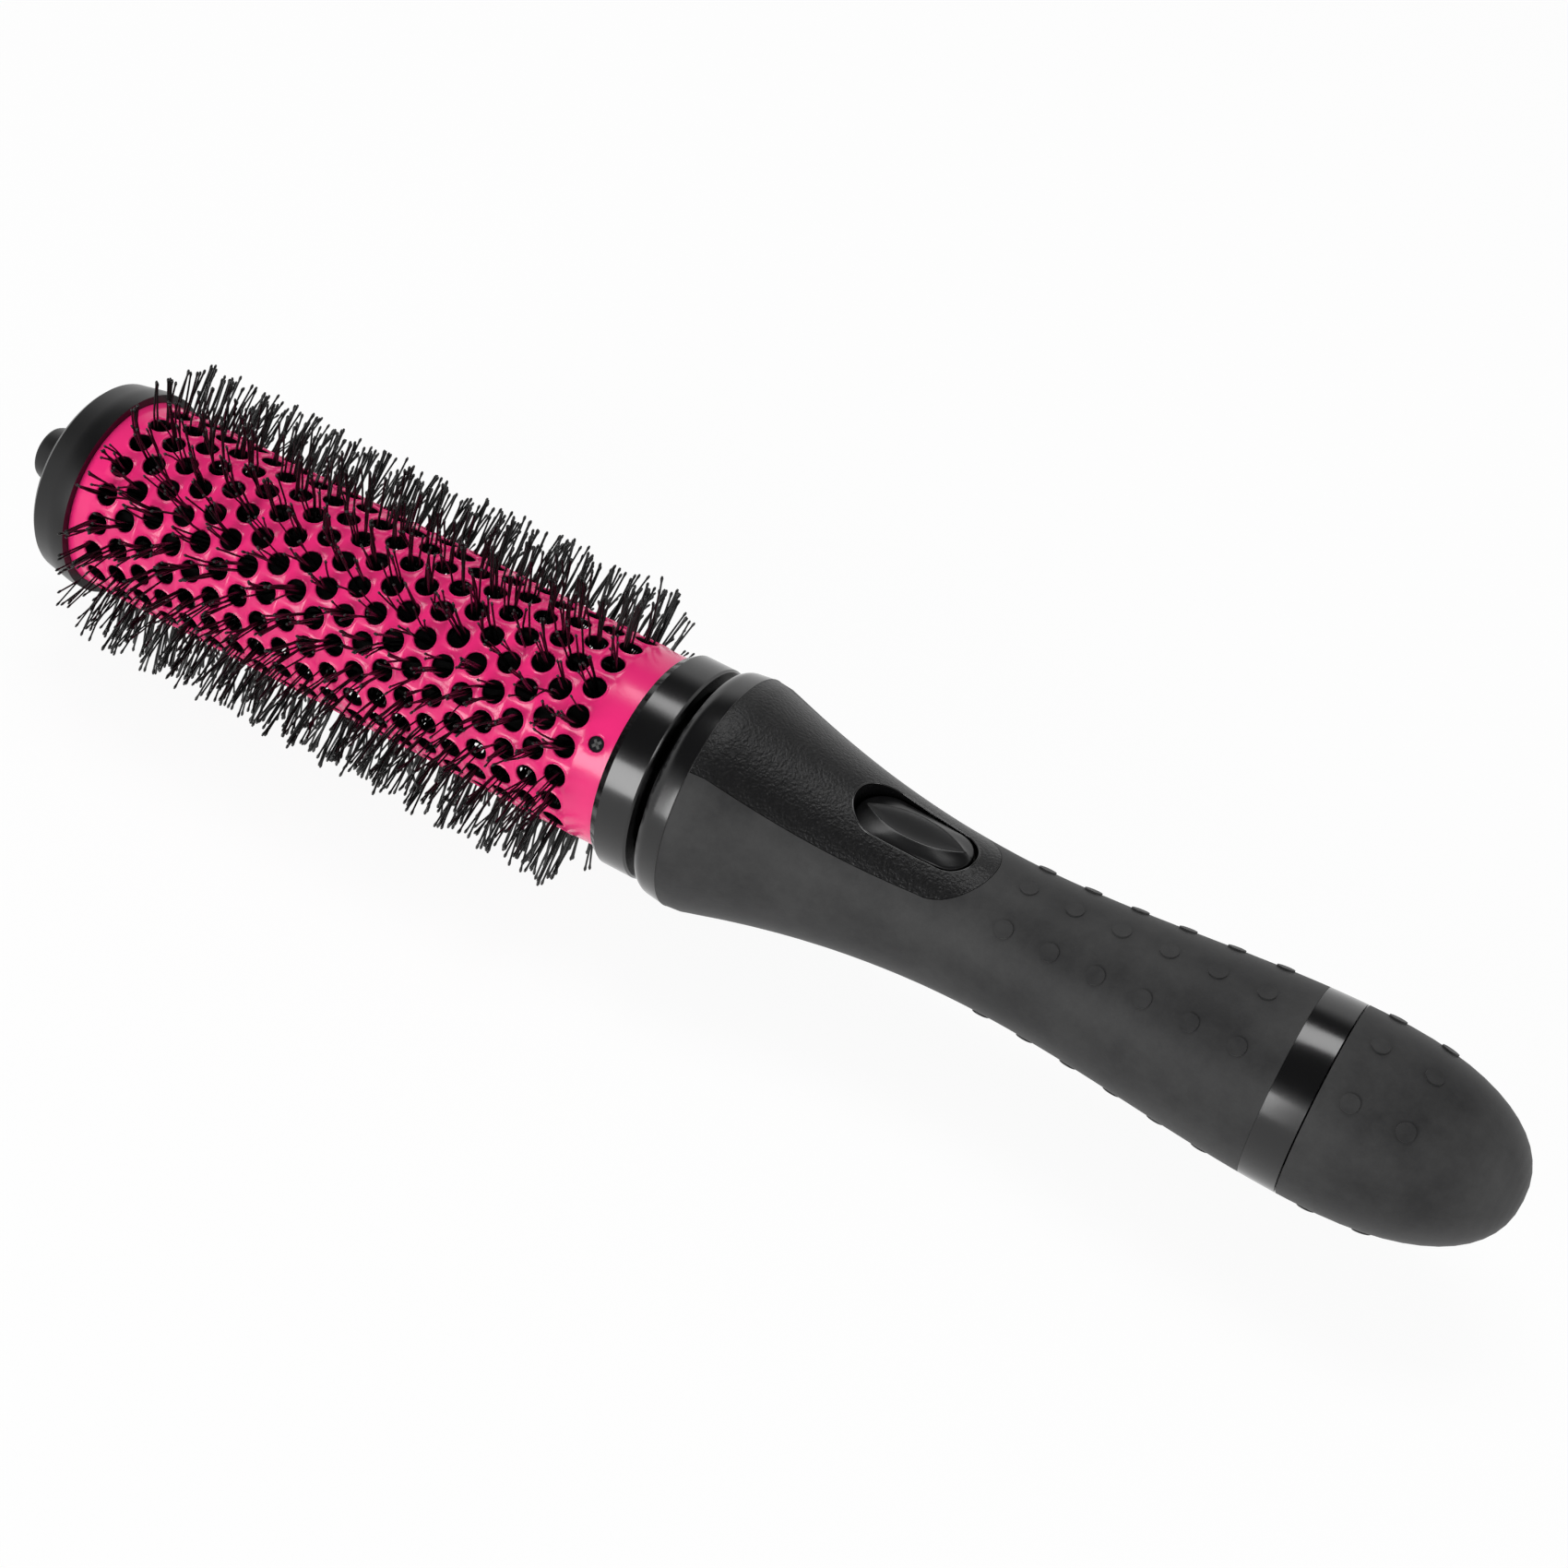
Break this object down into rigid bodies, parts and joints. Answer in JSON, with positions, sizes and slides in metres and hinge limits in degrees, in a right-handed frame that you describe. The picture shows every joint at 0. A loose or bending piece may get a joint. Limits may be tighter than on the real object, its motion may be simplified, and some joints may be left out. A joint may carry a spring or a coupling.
{
  "type": "spinning round brush",
  "caption": "Battery-driven round hair brush with a vented bristled barrel that a planetary geared motor spins, a rocker switch and a screw-off battery cap.",
  "frame": {"origin": "on the long axis, half-way between the tip knob's end and the handle's end", "axes": "+X from the bristled end to the handle's end, +Z the way the rocker faces"},
  "size_m": [0.3134, 0.059, 0.059],
  "materials": {
    "pink_gloss_plastic": "glossy moulded barrel",
    "black_gloss_plastic": "polished",
    "black_satin_plastic": "satin",
    "black_grained_plastic": "moulded leather-like grain",
    "grey_plastic": "plain moulding, hidden",
    "white_plastic": "acetal gear plastic",
    "grip_rubber": "soft matte",
    "black_nylon": "nylon filament",
    "bronze": "plain",
    "steel": "plain",
    "green_board": "circuit board laminate",
    "red_lead": "wire insulation",
    "black_lead": "wire insulation",
    "cell_jacket": "plain wrapped cell"
  },
  "bodies": {
    "handle": {"head_ring": "black_gloss_plastic", "housing_upper": "grey_plastic", "housing_lower": "grey_plastic", "housing_screws": "steel", "grip_sleeve": "grip_rubber", "switch_panel": "black_grained_plastic", "accent_band": "black_gloss_plastic", "gearbox_case": "black_satin_plastic", "gearbox_cover": "black_satin_plastic", "gearbox_screws": "steel", "output_bush": "bronze", "motor_can": "steel", "motor_end_bell": "white_plastic", "rocker_pin": "steel", "switch_board": "green_board", "fixed_contacts": "bronze", "battery_tube": "grey_plastic", "cell_front": "cell_jacket", "cell_rear": "cell_jacket", "front_contact": "bronze", "return_strip": "bronze", "lead_red": "red_lead", "lead_black": "black_lead", "return_lead": "black_lead"},
    "brush_head": {"barrel": "pink_gloss_plastic", "tip_cap": "black_satin_plastic", "root_collar": "black_gloss_plastic", "bristle_core": "black_satin_plastic", "bristle_strips_a": "black_nylon", "bristle_strips_b": "black_nylon", "bristle_strips_c": "black_nylon", "bristle_strips_d": "black_nylon", "barrel_screws": "steel", "output_carrier": "steel", "hub_screw": "steel", "knob_pin": "steel"},
    "tip_knob": {"tip_knob": "black_satin_plastic"},
    "rotor": {"rotor": "steel", "sun_pinion": "bronze"},
    "stage_carrier": {"stage_carrier": "white_plastic"},
    "rocker": {"rocker_button": "black_gloss_plastic", "contact_blade": "bronze"},
    "cap_contact": {"cap_contact": "bronze", "cap_spring": "steel"},
    "battery_cap": {"battery_cap": "grey_plastic", "cap_cover": "grip_rubber", "cap_seal": "grip_rubber"},
    "planet_1a": {"planet_1a": "white_plastic"},
    "planet_1b": {"planet_1b": "white_plastic"},
    "planet_1c": {"planet_1c": "white_plastic"},
    "planet_2a": {"planet_2a": "white_plastic"},
    "planet_2b": {"planet_2b": "white_plastic"},
    "planet_2c": {"planet_2c": "white_plastic"}
  },
  "joints": [
    {"name": "barrel_spin", "type": "hinge", "parent": "handle", "child": "brush_head", "pos_m": [-0.00625, 0, 0], "axis": [1, 0, 0], "continuous": true},
    {"name": "knob_turn", "type": "hinge", "parent": "brush_head", "child": "tip_knob", "pos_m": [-0.151, 0, 0], "axis": [1, 0, 0], "continuous": true},
    {"name": "carrier_spin", "type": "hinge", "parent": "handle", "child": "stage_carrier", "pos_m": [0.00575, 0, 0], "axis": [1, 0, 0], "continuous": true},
    {"name": "rotor_spin", "type": "hinge", "parent": "handle", "child": "rotor", "pos_m": [0.02175, 0, 0], "axis": [1, 0, 0], "continuous": true},
    {"name": "planet_1a_spin", "type": "hinge", "parent": "stage_carrier", "child": "planet_1a", "pos_m": [0.0082, 0, -0.0075], "axis": [1, 0, 0], "continuous": true},
    {"name": "planet_1b_spin", "type": "hinge", "parent": "stage_carrier", "child": "planet_1b", "pos_m": [0.0082, 0.0065, 0.00375], "axis": [1, 0, 0], "continuous": true},
    {"name": "planet_1c_spin", "type": "hinge", "parent": "stage_carrier", "child": "planet_1c", "pos_m": [0.0082, -0.0065, 0.00375], "axis": [1, 0, 0], "continuous": true},
    {"name": "planet_2a_spin", "type": "hinge", "parent": "brush_head", "child": "planet_2a", "pos_m": [0.0035, 0, -0.0075], "axis": [1, 0, 0], "continuous": true},
    {"name": "planet_2b_spin", "type": "hinge", "parent": "brush_head", "child": "planet_2b", "pos_m": [0.0035, 0.0065, 0.00375], "axis": [1, 0, 0], "continuous": true},
    {"name": "planet_2c_spin", "type": "hinge", "parent": "brush_head", "child": "planet_2c", "pos_m": [0.0035, -0.0065, 0.00375], "axis": [1, 0, 0], "continuous": true},
    {"name": "rocker_tilt", "type": "hinge", "parent": "handle", "child": "rocker", "pos_m": [0.03795, 0, 0.0122], "axis": [0, 1, 0], "range_deg": [-5, 5], "stiffness_Nm_per_rad": 0.05},
    {"name": "cap_slide", "type": "slide", "parent": "handle", "child": "cap_contact", "axis": [1, 0, 0], "range_m": [0, 0.0091]},
    {"name": "cap_turn", "type": "hinge", "parent": "cap_contact", "child": "battery_cap", "pos_m": [0.12175, 0, 0], "axis": [1, 0, 0], "range_deg": [0, 1080]}
  ],
  "couplings": [
    {"joint": "carrier_spin", "follows": "barrel_spin", "ratio": 5},
    {"joint": "rotor_spin", "follows": "barrel_spin", "ratio": 25},
    {"joint": "planet_1a_spin", "follows": "barrel_spin", "ratio": -13.333},
    {"joint": "planet_1b_spin", "follows": "barrel_spin", "ratio": -13.333},
    {"joint": "planet_1c_spin", "follows": "barrel_spin", "ratio": -13.333},
    {"joint": "planet_2a_spin", "follows": "barrel_spin", "ratio": -2.6667},
    {"joint": "planet_2b_spin", "follows": "barrel_spin", "ratio": -2.6667},
    {"joint": "planet_2c_spin", "follows": "barrel_spin", "ratio": -2.6667},
    {"joint": "cap_slide", "follows": "cap_turn", "m_per_rad": 0.00047746}
  ]
}
